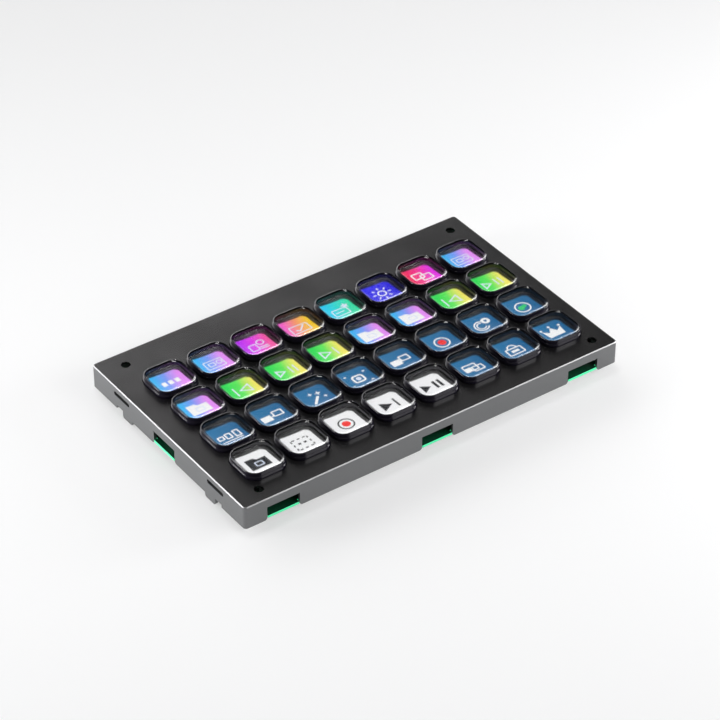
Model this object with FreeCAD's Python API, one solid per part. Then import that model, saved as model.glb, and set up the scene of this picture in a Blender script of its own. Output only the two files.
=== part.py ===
import FreeCAD, Part
import math
import os

# A panel-mounted keypad with a clear cap over each tile of one display.
# Millimetres. X runs along the long side, Y to the back and Z up; z = 0 is the
# plane of the four lugs that the frame stands on, and x = y = 0 is the middle
# of the frame. The grid of keys sets the outline, and the board sets the levels.

# Grid of keys, a little off the frame's middle
columns = 8
rows = 4
pitch = 19.3
grid_x = 1.35
grid_y = -3.4

# Frame of four walls, open below
wall = 1.25
corner_radius = 1.5
inner_radius = 0.75
edge_chamfer = 0.3
rim_width = 0.45
ledge_reach = 1.2
ledge_thickness = 0.7
lug_drop = 1.8

# Openings in the walls: wide mouths for the board's tabs, narrow slots, lugs
mouth_width = 14.0
mouth_top_depth = 3.9
mouth_inset = 16.6
mouth_corner = 1.2
side_mouth_y = 1.5
side_middle_y = -1.0
slot_length = 10.5
slot_height = 1.7
slot_top_depth = 2.3
slot_inset = 19.9
lug_width = 6.5
lug_inset = 23.5
lug_corner = 1.0
notch_width = 4.2
notch_rise = 1.3

# Face plate, seated in the frame's rim
plate_thickness = 1.0
plate_fit = 0.05
window_rib = 1.3
window_radius = 5.2
panel_hole_radius = 1.85
panel_hole_inset_x = 8.95
panel_hole_inset_y = 6.85
panel_hole_y = -0.62
bolt_clearance = 0.55

# Key: a black skirt with a shoulder, bonded round a thick clear pane with a dished top
key_rise = 2.8
key_travel = 0.7
shoulder_rise = 1.15
shoulder_width = 0.25
skirt_gap = 0.3
rim_wall = 0.35
pane_thickness = 2.3
dish_border = 0.35
dish_width = 1.5
dish_depth = 0.5
flange_overlap = 0.4
flange_thickness = 0.4
flange_length = 6.0
flange_gap = 0.05
pressed_gap = 0.05

# Silicone mat: a collar inside each key, and four domes under its flanges
mat_thickness = 0.2
mat_margin = 0.6
mat_corner = 3.0
collar_gap = 0.4
collar_corner_cut = 0.35
collar_wall = 0.3
collar_head_gap = 0.1
dome_length = 4.0
dome_width = 1.3
dome_lean = 0.15

# Contact sheet under the mat, with a tail to the board
contact_thickness = 0.1
contact_tail_width = 11.0
contact_tail_x = 50.65

# Display stack
glass_thickness = 1.0
glass_side_margin = 1.8
glass_front_margin = 0.2
glass_back_margin = 4.8
diffuser_thickness = 0.2
guide_thickness = 1.0
tray_wall = 0.4
tray_floor = 0.4
tray_fit = 0.1
led_length = 3.0
led_depth = 0.8
led_height = 0.7
led_count = 12
led_board_thickness = 0.25

# Cradle moulded round the display, and the stiffener that closes it from below
display_fit = 0.3
cradle_wall = 1.25
rail_edge = 0.6
ledge_gap = 0.25
stiffener_thickness = 0.8
stiffener_inset = 1.0
stiffener_corner = 2.0
stiffener_screw_radius = 0.75
stiffener_screw_head_radius = 1.5
stiffener_screw_head = 0.6
stiffener_screw_length = 2.6
screw_hole_gap = 0.05

# Standoffs from the plate to the board, and the board's screws
standoff_radius = 2.0
standoff_gap = 0.15
standoff_count = 4
standoff_spacing_share = 0.204
screw_radius = 0.78
screw_length = 4.5
screw_head_radius = 1.8
screw_head = 1.2

# Main board, with a tab in each mouth but the one for the data socket
board_thickness = 1.0
board_lift = 0.75
board_gap = 0.3
board_room = 1.95
tab_gap = 0.3

# Flat cable from the display, over the glass's back edge to the board
flex_width = 32.0
flex_x = -13.35
flex_thickness = 0.12
flex_lap = 2.2
flex_gap = 0.7
flex_bend = 0.6
flex_slot_gap = 0.8
flex_insert = 1.6
flex_level = 0.75
socket_depth = 4.2
socket_roof = 0.45
socket_side = 2.0
socket_slit = 0.2
socket_lip = 1.4

# Socket for the data lead, sunk into a notch in the board's back edge
usb_width = 8.94
usb_height = 3.26
usb_length = 7.3
usb_wall = 0.3
usb_inset = 0.3
usb_bottom_rise = 0.35
usb_notch_gap = 0.4
usb_wing = 1.4
usb_wing_length = 1.6
usb_tongue_width = 6.7
usb_tongue_thickness = 0.7
usb_tongue_length = 4.5
usb_core = 1.5
usb_fit = 0.05

# Parts soldered to the underside of the board
chip_size = 14.0
chip_height = 1.2
chip_bevel = 0.25
chip_x = 22.0
chip_y = 6.0
memory_width = 5.3
memory_depth = 5.3
memory_height = 1.6
memory_gap = 6.0
coil_size = 6.0
coil_height = 1.9
coil_radius = 2.4
coil_plinth = 0.5
coil_x = -24.0
coil_y = 33.0
crystal_width = 3.2
crystal_depth = 2.5
crystal_height = 0.8
crystal_gap = 3.0
capacitor_length = 2.0
capacitor_width = 1.25
capacitor_height = 0.9
capacitor_pitch = 5.0
capacitor_count = 6
capacitor_gap = 4.0

overrun = 1.0
quarter_turn = 90

# Levels, from the lugs up
wall_bottom_z = lug_drop
board_z = wall_bottom_z + board_lift
board_top_z = board_z + board_thickness
stiffener_z = board_top_z + board_room
tray_z = stiffener_z + stiffener_thickness
guide_z = tray_z + tray_floor
diffuser_z = guide_z + guide_thickness
glass_z = diffuser_z + diffuser_thickness
contact_z = glass_z + glass_thickness
mat_z = contact_z + contact_thickness
mat_top_z = mat_z + mat_thickness
flange_z = mat_top_z + pressed_gap + key_travel
flange_top_z = flange_z + flange_thickness
plate_z = flange_top_z + flange_gap
top_z = plate_z + plate_thickness
shoulder_z = top_z + shoulder_rise
key_top_z = top_z + key_rise
pane_z = key_top_z - pane_thickness
collar_top_z = pane_z - key_travel - collar_head_gap
flex_level_z = board_top_z + flex_level

# Key outlines, each drawn in from the window
window_size = pitch - window_rib
skirt_size = window_size - 2 * skirt_gap
skirt_radius = window_radius - skirt_gap
cap_size = skirt_size - 2 * shoulder_width
cap_radius = skirt_radius - shoulder_width
pane_size = cap_size - 2 * rim_wall
pane_radius = cap_radius - rim_wall
dish_size = pane_size - 2 * dish_border
dish_radius = pane_radius - dish_border
flange_size = window_size + 2 * flange_overlap
collar_size = pane_size - 2 * collar_gap
collar_radius = pane_radius - collar_gap - collar_corner_cut
view_size = collar_size - 2 * collar_wall
view_radius = collar_radius - collar_wall

# Grid, display and cradle, and the frame round them
grid_width = columns * pitch
grid_depth = rows * pitch
mat_width = grid_width + 2 * mat_margin
mat_depth = grid_depth + 2 * mat_margin
glass_width = grid_width + 2 * glass_side_margin
glass_front_y = grid_y - mat_depth / 2 - glass_front_margin
glass_back_y = grid_y + grid_depth / 2 + glass_back_margin
glass_depth = glass_back_y - glass_front_y
glass_y = (glass_back_y + glass_front_y) / 2
cradle_rail = 2 * (standoff_radius + standoff_gap + rail_edge)
cradle_width = glass_width + 2 * (abs(grid_x) + display_fit + cradle_wall)
cradle_depth = mat_depth + 2 * (abs(grid_y) + glass_front_margin + display_fit + cradle_rail)
rail_y = (cradle_depth - cradle_rail) / 2
frame_width = cradle_width + 2 * (ledge_gap + ledge_reach + wall)
frame_depth = cradle_depth + 2 * (ledge_gap + ledge_reach + wall)
wall_x = (frame_width - wall) / 2
wall_y = (frame_depth - wall) / 2
tab_width = mouth_width - 2 * tab_gap
mouth_x = frame_width / 2 - mouth_inset
standoff_spacing = standoff_spacing_share * frame_width
flex_drop_y = glass_back_y + flex_gap
usb_back_y = frame_depth / 2 - usb_inset
usb_z = wall_bottom_z + usb_bottom_rise


def vector(x, y, z):
    return FreeCAD.Vector(x, y, z)


def outline(width, depth, radius, x, y, z):
    """A rounded rectangle: four straight sides joined by four quarter arcs."""
    half_w, half_d = width / 2, depth / 2
    flat_w, flat_d = half_w - radius, half_d - radius
    diagonal = radius * math.sqrt(0.5)
    corners = []
    for sign_x, sign_y, from_side in ((1, 1, True), (-1, 1, False), (-1, -1, True), (1, -1, False)):
        side = vector(x + sign_x * half_w, y + sign_y * flat_d, z)
        end = vector(x + sign_x * flat_w, y + sign_y * half_d, z)
        middle = vector(x + sign_x * (flat_w + diagonal), y + sign_y * (flat_d + diagonal), z)
        start, stop = (side, end) if from_side else (end, side)
        corners.append((start, middle, stop))
    edges = []
    for index, (start, middle, stop) in enumerate(corners):
        following = corners[(index + 1) % len(corners)][0]
        edges.append(Part.Arc(start, middle, stop).toShape())
        edges.append(Part.LineSegment(stop, following).toShape())
    return Part.Wire(edges)


def rectangle(width, depth, x, y, z):
    """A plain rectangle, centred on x and y."""
    left, right = x - width / 2, x + width / 2
    front, back = y - depth / 2, y + depth / 2
    corners = ((left, front), (right, front), (right, back), (left, back), (left, front))
    return Part.makePolygon([vector(cx, cy, z) for cx, cy in corners])


def block(width, depth, radius, x, y, low, high):
    """A rounded rectangle raised from one level to another."""
    face = Part.Face(outline(width, depth, radius, x, y, low))
    return face.extrude(vector(0, 0, high - low))


def box(width, depth, x, y, low, high):
    """A plain box, centred on x and y."""
    corner = vector(x - width / 2, y - depth / 2, low)
    return Part.makeBox(width, depth, high - low, corner)


def post(radius, x, y, low, high):
    return Part.makeCylinder(radius, high - low, vector(x, y, low))


def pierced(outer, holes, low, high):
    """A sheet with holes: one outline, many inner outlines, raised once."""
    face = Part.makeFace([outer] + holes, "Part::FaceMakerBullseye")
    return face.extrude(vector(0, 0, high - low))


def joined(shapes):
    first, rest = shapes[0], shapes[1:]
    return first.multiFuse(rest).removeSplitter() if rest else first


def cell_centres():
    """Key centres by row from the back, and by column from the left."""
    centres = {}
    for row in range(rows):
        for column in range(columns):
            x = grid_x + (column - (columns - 1) / 2) * pitch
            y = grid_y + ((rows - 1) / 2 - row) * pitch
            centres[row + 1, column + 1] = (x, y)
    return centres


def spread(count, spacing):
    """Places along a line, the same distance apart and centred on zero."""
    return [(index - (count - 1) / 2) * spacing for index in range(count)]


def panel_holes():
    """The four holes through which the module is screwed to a panel."""
    half_x = frame_width / 2 - panel_hole_inset_x
    half_y = frame_depth / 2 - panel_hole_inset_y
    return [
        (grid_x + side * half_x, panel_hole_y + end * half_y)
        for side in (-1, 1)
        for end in (-1, 1)
    ]


def standoff_places():
    """Along the middle of the cradle's front and back rails."""
    along = spread(standoff_count, standoff_spacing)
    return [(x, side * rail_y) for side in (-1, 1) for x in along]


def stiffener_screw_places():
    """On the same rails, one to each side of the data socket."""
    return [(end * standoff_spacing, side * rail_y) for side in (-1, 1) for end in (-1, 1)]


def wall_mouth():
    """The cutter for an opening that runs out through the wall's lower edge."""
    low, high = wall_bottom_z, top_z - mouth_top_depth
    half, flare = mouth_width / 2, mouth_width / 2 + mouth_corner
    bend = flare - mouth_corner * math.sqrt(0.5)
    bend_z = low + mouth_corner * (1 - math.sqrt(0.5))
    edges = []
    for side in (-1, 1):
        foot = vector(side * flare, 0, low)
        spring = vector(side * half, 0, low + mouth_corner)
        edges.append(Part.LineSegment(vector(side * flare, 0, low - overrun), foot).toShape())
        edges.append(Part.Arc(foot, vector(side * bend, 0, bend_z), spring).toShape())
        edges.append(Part.LineSegment(spring, vector(side * half, 0, high)).toShape())
    edges.append(Part.LineSegment(vector(-half, 0, high), vector(half, 0, high)).toShape())
    below = low - overrun
    edges.append(Part.LineSegment(vector(-flare, 0, below), vector(flare, 0, below)).toShape())
    face = Part.Face(Part.Wire(Part.__sortEdges__(edges)))
    reach = wall + 2 * overrun
    return face.extrude(vector(0, reach, 0)).translated(vector(0, -reach / 2, 0))


def side_slot(x, y):
    """The cutter for a slot with round ends, lying along the side wall."""
    radius = slot_height / 2
    middle = top_z - slot_top_depth - radius
    reach = wall + 2 * overrun
    straight = slot_length - slot_height
    bar = box(reach, straight, x, y, middle - radius, middle + radius)
    along = vector(1, 0, 0)
    starts = [vector(x - reach / 2, y + end * straight / 2, middle) for end in (-1, 1)]
    return joined([bar] + [Part.makeCylinder(radius, reach, start, along) for start in starts])


def side_notch(x, end):
    """The cutter for the notch beside a lug, in the wall's lower edge."""
    lug_y = frame_depth / 2 - lug_inset
    y = side_middle_y + end * (lug_y + lug_width / 2 + notch_width / 2)
    reach = wall + 2 * overrun
    return box(reach, notch_width, x, y, wall_bottom_z - overrun, wall_bottom_z + notch_rise)


def side_lug(x, end):
    """A lug that carries the wall down to the surface, with rounded corners."""
    y = side_middle_y + end * (frame_depth / 2 - lug_inset)
    lug = box(wall, lug_width, x, y, 0, wall_bottom_z + notch_rise)
    lower = [
        edge
        for edge in lug.Edges
        if edge.BoundBox.ZMax < lug_drop / 2 and edge.BoundBox.XLength > wall / 2
    ]
    return lug.makeFillet(lug_corner, lower)


def side_openings():
    """Cutters for every mouth, slot and notch in the four walls."""
    turn = FreeCAD.Rotation(vector(0, 0, 1), quarter_turn)
    mouth = wall_mouth()
    side_mouth = mouth.copy()
    side_mouth.Placement = FreeCAD.Placement(vector(0, 0, 0), turn).multiply(mouth.Placement)
    slot_y = frame_depth / 2 - slot_inset
    cutters = []
    for side in (-1, 1):
        for place in (-1, 0, 1):
            cutters.append(mouth.translated(vector(place * mouth_x, side * wall_y, 0)))
        cutters.append(side_mouth.translated(vector(side * wall_x, side_mouth_y, 0)))
        for end in (-1, 1):
            cutters.append(side_slot(side * wall_x, side_middle_y + end * slot_y))
            cutters.append(side_notch(side * wall_x, end))
    return Part.Compound(cutters)


def side_frame():
    """Four walls with a rim round the plate, a ledge under it, and lugs."""
    shell = block(frame_width, frame_depth, corner_radius, 0, 0, wall_bottom_z, top_z)
    top_edges = [edge for edge in shell.Edges if edge.BoundBox.ZMin > top_z - edge_chamfer]
    shell = shell.makeChamfer(edge_chamfer, top_edges)
    inner_w, inner_d = frame_width - 2 * wall, frame_depth - 2 * wall
    ledge_w, ledge_d = inner_w - 2 * ledge_reach, inner_d - 2 * ledge_reach
    seat_w, seat_d = frame_width - 2 * rim_width, frame_depth - 2 * rim_width
    seat_radius = corner_radius - rim_width
    ledge_z = plate_z - ledge_thickness
    below, above = wall_bottom_z - overrun, top_z + overrun
    shell = shell.cut(block(inner_w, inner_d, inner_radius, 0, 0, below, ledge_z))
    shell = shell.cut(block(ledge_w, ledge_d, inner_radius, 0, 0, below, above))
    shell = shell.cut(block(seat_w, seat_d, seat_radius, 0, 0, plate_z, above))
    shell = shell.cut(side_openings())
    lugs = [side_lug(side * wall_x, end) for side in (-1, 1) for end in (-1, 1)]
    return joined([shell] + lugs)


def face_plate():
    """The plate, with a window for each key and a hole at each corner."""
    inset = rim_width + plate_fit
    width, depth = frame_width - 2 * inset, frame_depth - 2 * inset
    outer = outline(width, depth, corner_radius - inset, 0, 0, plate_z)
    holes = []
    for x, y in cell_centres().values():
        holes.append(outline(window_size, window_size, window_radius, x, y, plate_z))
    for x, y in panel_holes():
        holes.append(Part.Wire(Part.makeCircle(panel_hole_radius, vector(x, y, plate_z))))
    return pierced(outer, holes, plate_z, top_z)


def key_skirt():
    """The key's black body: four flanges, the skirt, and the ring on its shoulder.

    The flanges keep the key under the plate, and the domes push on them.
    """
    flanges = [
        box(flange_size, flange_length, 0, 0, flange_z, flange_top_z),
        box(flange_length, flange_size, 0, 0, flange_z, flange_top_z),
    ]
    skirt = block(skirt_size, skirt_size, skirt_radius, 0, 0, flange_z, shoulder_z)
    ring = block(cap_size, cap_size, cap_radius, 0, 0, flange_z, key_top_z)
    bore = block(pane_size, pane_size, pane_radius, 0, 0, flange_z - overrun, key_top_z + overrun)
    return joined([skirt, ring] + flanges).cut(bore)


def dish():
    """The cutter for a key's shallow dish: a flat floor inside a sloping rim."""
    lip = overrun * dish_width / dish_depth
    floor_size, top_size = dish_size - 2 * dish_width, dish_size + 2 * lip
    floor_z = key_top_z - dish_depth
    floor = outline(floor_size, floor_size, dish_radius - dish_width, 0, 0, floor_z)
    mouth = outline(top_size, top_size, dish_radius + lip, 0, 0, key_top_z + overrun)
    return Part.makeLoft([floor, mouth], True, True)


def key_pane():
    """The clear pane, bonded into the top of the skirt, with a dished top."""
    pane = block(pane_size, pane_size, pane_radius, 0, 0, pane_z, key_top_z)
    return pane.cut(dish())


def domes():
    """Four silicone domes that push a key's flanges up, drawn as blunt wedges."""
    head_z = flange_z - flange_gap
    along = dome_length - 2 * dome_lean
    across = dome_width - 2 * dome_lean
    out = skirt_size / 2
    shapes = []
    for side in (-1, 1):
        foot = rectangle(dome_width, dome_length, side * out, 0, mat_top_z)
        head = rectangle(across, along, side * out, 0, head_z)
        shapes.append(Part.makeLoft([foot, head], True, True))
        foot = rectangle(dome_length, dome_width, 0, side * out, mat_top_z)
        head = rectangle(along, across, 0, side * out, head_z)
        shapes.append(Part.makeLoft([foot, head], True, True))
    return Part.Compound(shapes)


def view(x, y, level):
    """The outline through which a key shows its tile of the display."""
    return outline(view_size, view_size, view_radius, x, y, level)


def dome_mat():
    """One sheet of silicone with a collar and four domes for every key.

    A collar rises inside the key's bore and hides the gap under its skirt.
    """
    centres = list(cell_centres().values())
    outer = outline(mat_width, mat_depth, mat_corner, grid_x, grid_y, mat_z)
    pieces = [pierced(outer, [view(x, y, mat_z) for x, y in centres], mat_z, mat_top_z)]
    rim = outline(collar_size, collar_size, collar_radius, 0, 0, mat_z)
    collar = pierced(rim, [view(0, 0, mat_z)], mat_z, collar_top_z)
    pushers = Part.Compound([collar] + domes().Solids)
    for x, y in centres:
        pieces.extend(pushers.translated(vector(x, y, 0)).Solids)
    return joined(pieces)


def contact_sheet():
    """The printed contact sheet, and its tail over the glass to the board."""
    outer = outline(mat_width, mat_depth, mat_corner, grid_x, grid_y, contact_z)
    centres = cell_centres().values()
    sheet = pierced(outer, [view(x, y, contact_z) for x, y in centres], contact_z, mat_z)
    start = grid_y + mat_depth / 2
    tail = bent_strip(contact_tail_width, contact_tail_x, start, contact_thickness)
    return joined([sheet, tail])


def bent_strip(width, offset, start_y, thickness):
    """A flat strip that runs back over the glass, turns down and comes back.

    Two quarter bends join three straight runs, in the plane across X.
    """
    x = grid_x + offset
    inner, outer = flex_bend, flex_bend + thickness
    bend_y = flex_drop_y - inner
    end_y = glass_back_y - flex_insert
    upper_z, lower_z = contact_z, flex_level_z
    drop_low, drop_high = lower_z + outer, upper_z - inner
    top_y = (bend_y + start_y) / 2
    low_y = (bend_y + end_y) / 2
    pieces = [
        box(width, bend_y - start_y, x, top_y, upper_z, upper_z + thickness),
        box(width, thickness, x, flex_drop_y + thickness / 2, drop_low, drop_high),
        box(width, bend_y - end_y, x, low_y, lower_z, lower_z + thickness),
        quarter_ring(inner, outer, x, width, bend_y, drop_high, True),
        quarter_ring(inner, outer, x, width, bend_y, drop_low, False),
    ]
    return joined(pieces)


def quarter_ring(inner, outer, x, width, y, z, above):
    """A quarter of a tube whose axis lies along X, open to the front."""
    base = vector(x - width / 2, y, z)
    along = vector(1, 0, 0)
    full = Part.makeCylinder(outer, width, base, along)
    full = full.cut(Part.makeCylinder(inner, width + 2 * overrun, base - along * overrun, along))
    reach = outer + overrun
    low = z if above else z - reach
    return full.common(Part.makeBox(width, reach, reach, vector(x - width / 2, y, low)))


def display_glass():
    return box(glass_width, glass_depth, grid_x, glass_y, glass_z, contact_z)


def tray_inner():
    return glass_width - 2 * tray_wall, glass_depth - 2 * tray_wall


def light_guide():
    """The clear plate that spreads light from the strip at its left end."""
    width, depth = tray_inner()
    strip = led_depth + led_board_thickness + tray_fit
    x = grid_x + (strip - tray_fit) / 2
    return box(width - strip - tray_fit, depth - 2 * tray_fit, x, glass_y, guide_z, diffuser_z)


def diffuser_sheet():
    width, depth = tray_inner()
    return box(width - 2 * tray_fit, depth - 2 * tray_fit, grid_x, glass_y, diffuser_z, glass_z)


def backlight_tray():
    """A folded tray that holds the guide against the glass."""
    width, depth = tray_inner()
    tray = box(glass_width, glass_depth, grid_x, glass_y, tray_z, glass_z)
    return tray.cut(box(width, depth, grid_x, glass_y, guide_z, glass_z + overrun))


def led_strip():
    """A narrow board on edge, with a row of lamps facing the guide."""
    width, depth = tray_inner()
    left = grid_x - width / 2
    strip_depth = depth - 2 * tray_fit
    board_x = left + led_board_thickness / 2
    lamp_x = left + led_board_thickness + led_depth / 2
    lamp_z = guide_z + led_height
    pieces = [box(led_board_thickness, strip_depth, board_x, glass_y, guide_z, diffuser_z)]
    for y in spread(led_count, strip_depth / led_count):
        pieces.append(box(led_depth, led_length, lamp_x, glass_y + y, guide_z, lamp_z))
    return joined(pieces)


def display_flex():
    return bent_strip(flex_width, flex_x, glass_back_y - flex_lap, flex_thickness)


def strip_slots(low, high):
    """Cutters that let both flat cables pass the cradle and the stiffener."""
    depth = flex_gap + flex_thickness + flex_slot_gap + display_fit
    y = glass_back_y + depth / 2
    return [
        box(width + 2 * flex_slot_gap, depth, grid_x + offset, y, low, high)
        for width, offset in ((flex_width, flex_x), (contact_tail_width, contact_tail_x))
    ]


def rail_holes(low, high):
    """Cutters for the standoffs and for the panel's screws behind the plate."""
    places = [(standoff_radius + standoff_gap, x, y) for x, y in standoff_places()]
    places += [(panel_hole_radius + bolt_clearance, x, y) for x, y in panel_holes()]
    return [post(radius, x, y, low, high) for radius, x, y in places]


def display_frame():
    """The cradle moulded round the display, under the plate."""
    low, high = tray_z - overrun, plate_z + overrun
    outer = block(cradle_width, cradle_depth, corner_radius, 0, 0, tray_z, plate_z)
    open_w, open_d = glass_width + 2 * display_fit, glass_depth + 2 * display_fit
    cutters = [box(open_w, open_d, grid_x, glass_y, low, high)]
    cutters += strip_slots(low, high) + rail_holes(low, high)
    radius = stiffener_screw_radius + screw_hole_gap
    hole_top = tray_z + stiffener_screw_length - stiffener_thickness + screw_hole_gap
    cutters += [post(radius, x, y, low, hole_top) for x, y in stiffener_screw_places()]
    return outer.cut(Part.Compound(cutters))


def stiffener():
    """The plate that closes the cradle from below, notched for the data socket."""
    low, high = stiffener_z - overrun, tray_z + overrun
    width, depth = cradle_width - 2 * stiffener_inset, cradle_depth - 2 * stiffener_inset
    plate = block(width, depth, stiffener_corner, 0, 0, stiffener_z, tray_z)
    cutters = strip_slots(low, high) + rail_holes(low, high) + [usb_notch(low, high)]
    radius = stiffener_screw_radius + screw_hole_gap
    cutters += [post(radius, x, y, low, high) for x, y in stiffener_screw_places()]
    return plate.cut(Part.Compound(cutters))


def stiffener_screws():
    head_z = stiffener_z - stiffener_screw_head
    tip_z = stiffener_z + stiffener_screw_length
    screws = []
    for x, y in stiffener_screw_places():
        head = post(stiffener_screw_head_radius, x, y, head_z, stiffener_z)
        screws.append(joined([head, post(stiffener_screw_radius, x, y, stiffener_z, tip_z)]))
    return Part.Compound(screws)


def standoffs():
    """Round spacers that hang from the plate and carry the board."""
    bore_top = board_z + screw_length + screw_hole_gap
    spacers = []
    for x, y in standoff_places():
        spacer = post(standoff_radius, x, y, board_top_z, plate_z)
        bore = post(screw_radius + screw_hole_gap, x, y, board_top_z - overrun, bore_top)
        spacers.append(spacer.cut(bore))
    return Part.Compound(spacers)


def board_screws():
    """Screws up through the board into the standoffs."""
    screws = []
    for x, y in standoff_places():
        head = post(screw_head_radius, x, y, board_z - screw_head, board_z)
        screws.append(joined([head, post(screw_radius, x, y, board_z, board_z + screw_length)]))
    return Part.Compound(screws)


def board_tabs():
    """The board's tabs, flush with the walls' outer faces."""
    reach = wall + board_gap
    out_x, out_y = (frame_width - reach) / 2, (frame_depth - reach) / 2
    places = [(tab_width, reach, place * mouth_x, -out_y) for place in (-1, 0, 1)]
    for side in (-1, 1):
        places.append((tab_width, reach, side * mouth_x, out_y))
        places.append((reach, tab_width, side * out_x, side_mouth_y))
    return [box(width, depth, x, y, board_z, board_top_z) for width, depth, x, y in places]


def main_board():
    """The board that closes the back, with a tab in each mouth."""
    low, high = board_z - overrun, board_top_z + overrun
    inset = wall + board_gap
    width, depth = frame_width - 2 * inset, frame_depth - 2 * inset
    board = block(width, depth, inner_radius, 0, 0, board_z, board_top_z)
    cutters = [usb_notch(low, high)]
    for x, y in standoff_places():
        cutters.append(post(screw_radius + standoff_gap, x, y, low, high))
    for x, y in panel_holes():
        cutters.append(post(panel_hole_radius + bolt_clearance, x, y, low, high))
    return joined([board] + board_tabs()).cut(Part.Compound(cutters))


def usb_notch(low, high):
    """The cutter that makes room for the data socket in from the back edge."""
    depth = usb_length + usb_notch_gap + wall
    width = usb_width + 2 * usb_notch_gap
    y = usb_back_y - usb_length - usb_notch_gap + depth / 2
    return box(width, depth, 0, y, low, high)


def usb_body(shrink, length, y_end):
    """A bar of the socket's round-ended section, running forward."""
    middle = usb_z + usb_height / 2
    radius = usb_height / 2 - shrink
    straight = usb_width - usb_height
    start = y_end - length
    bar = box(straight, length, 0, start + length / 2, middle - radius, middle + radius)
    along = vector(0, 1, 0)
    starts = [vector(end * straight / 2, start, middle) for end in (-1, 1)]
    return joined([bar] + [Part.makeCylinder(radius, length, place, along) for place in starts])


def usb_shell():
    """The socket's steel shell, closed at its front end, with a wing on each side."""
    shell = usb_body(0, usb_length, usb_back_y)
    hollow = usb_body(usb_wall, usb_length - usb_wall + overrun, usb_back_y + overrun)
    width = usb_wing + usb_notch_gap + usb_wall
    x = usb_width / 2 - usb_wall + width / 2
    y = usb_back_y - usb_length / 2
    low, high = board_top_z, board_top_z + usb_wall
    wings = [box(width, usb_wing_length, side * x, y, low, high) for side in (-1, 1)]
    return joined([shell] + wings).cut(hollow)


def usb_tongue():
    """The moulded block at the socket's closed end, and the contact tongue."""
    middle = usb_z + usb_height / 2
    half = usb_tongue_thickness / 2
    core_end = usb_back_y - usb_length + usb_wall + usb_core
    core = usb_body(usb_wall + usb_fit, usb_core, core_end)
    y = core_end + usb_tongue_length / 2
    tongue = box(usb_tongue_width, usb_tongue_length, 0, y, middle - half, middle + half)
    return joined([core, tongue])


def under_board(width, depth, height, x, y):
    return box(width, depth, x, y, board_z - height, board_z)


def main_chip():
    """A square chip, its lower edges drawn in by a chamfer."""
    chip = under_board(chip_size, chip_size, chip_height, chip_x, chip_y)
    edges = [edge for edge in chip.Edges if edge.BoundBox.ZMax < board_z - chip_height / 2]
    return chip.makeChamfer(chip_bevel, edges)


def memory_chip():
    y = chip_y + chip_size / 2 + memory_gap + memory_depth / 2
    return under_board(memory_width, memory_depth, memory_height, chip_x, y)


def power_coil():
    """A shielded coil: a round core on a square plinth."""
    plinth = under_board(coil_size, coil_size, coil_plinth, coil_x, coil_y)
    core = post(coil_radius, coil_x, coil_y, board_z - coil_height, board_z - coil_plinth)
    return joined([plinth, core])


def crystal():
    x = chip_x - chip_size / 2 - crystal_gap - crystal_width / 2
    return under_board(crystal_width, crystal_depth, crystal_height, x, chip_y)


def capacitors():
    """A row of small capacitors on each side of the chip, past the crystal."""
    out = chip_size / 2 + capacitor_gap + capacitor_width / 2
    lines = (chip_x - out - crystal_gap - crystal_width, chip_x + out)
    size = (capacitor_width, capacitor_length, capacitor_height)
    along = spread(capacitor_count, capacitor_pitch)
    return Part.Compound([under_board(*size, x, chip_y + y) for x in lines for y in along])


def flat_socket(width, offset, thickness):
    """A socket on the board's upper face that grips the end of a flat cable."""
    x = grid_x + offset
    end_y = glass_back_y - flex_insert
    back_y = end_y + socket_lip
    low, high = flex_level_z - socket_slit, flex_level_z + thickness + socket_slit
    body_width, body_y = width + 2 * socket_side, back_y - socket_depth / 2
    body = box(body_width, socket_depth, x, body_y, board_top_z, flex_level_z + socket_roof)
    slit_depth = socket_lip + overrun
    slit_width = width + 2 * socket_slit
    return body.cut(box(slit_width, slit_depth, x, end_y + slit_depth / 2, low, high))


def flex_socket():
    return flat_socket(flex_width, flex_x, flex_thickness)


def contact_socket():
    return flat_socket(contact_tail_width, contact_tail_x, contact_thickness)


def save(name, shape):
    if not shape.isValid():
        print("not valid:", name)
    shape.exportStep("parts/" + name + ".step")


def save_keys():
    """Every key is the same moulding, set down at its own place."""
    skirt, pane = key_skirt(), key_pane()
    for (row, column), (x, y) in cell_centres().items():
        place = vector(x, y, 0)
        key = Part.Compound([skirt.translated(place), pane.translated(place)])
        save("key_r{}_c{}".format(row, column), key)


os.makedirs("parts", exist_ok=True)
for maker in (
    side_frame,
    face_plate,
    dome_mat,
    contact_sheet,
    display_glass,
    diffuser_sheet,
    light_guide,
    backlight_tray,
    led_strip,
    display_flex,
    display_frame,
    stiffener,
    stiffener_screws,
    standoffs,
    main_board,
    board_screws,
    usb_shell,
    usb_tongue,
    main_chip,
    memory_chip,
    power_coil,
    crystal,
    capacitors,
    flex_socket,
    contact_socket,
):
    save(maker.__name__, maker())
save_keys()
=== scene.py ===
# %% [markdown]
# # A display keypad, dressed in Blender
#
# The object is an open-backed keypad: a shallow metal frame, a black plate with
# a window for each key, and clear-topped keys that look down on one display.
# The construction is loaded as a fixed frame. This script adds what the eye
# needs: finishes, clear panes, lit tiles and the small parts on the board.

# %% Load the frame
import math

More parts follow.
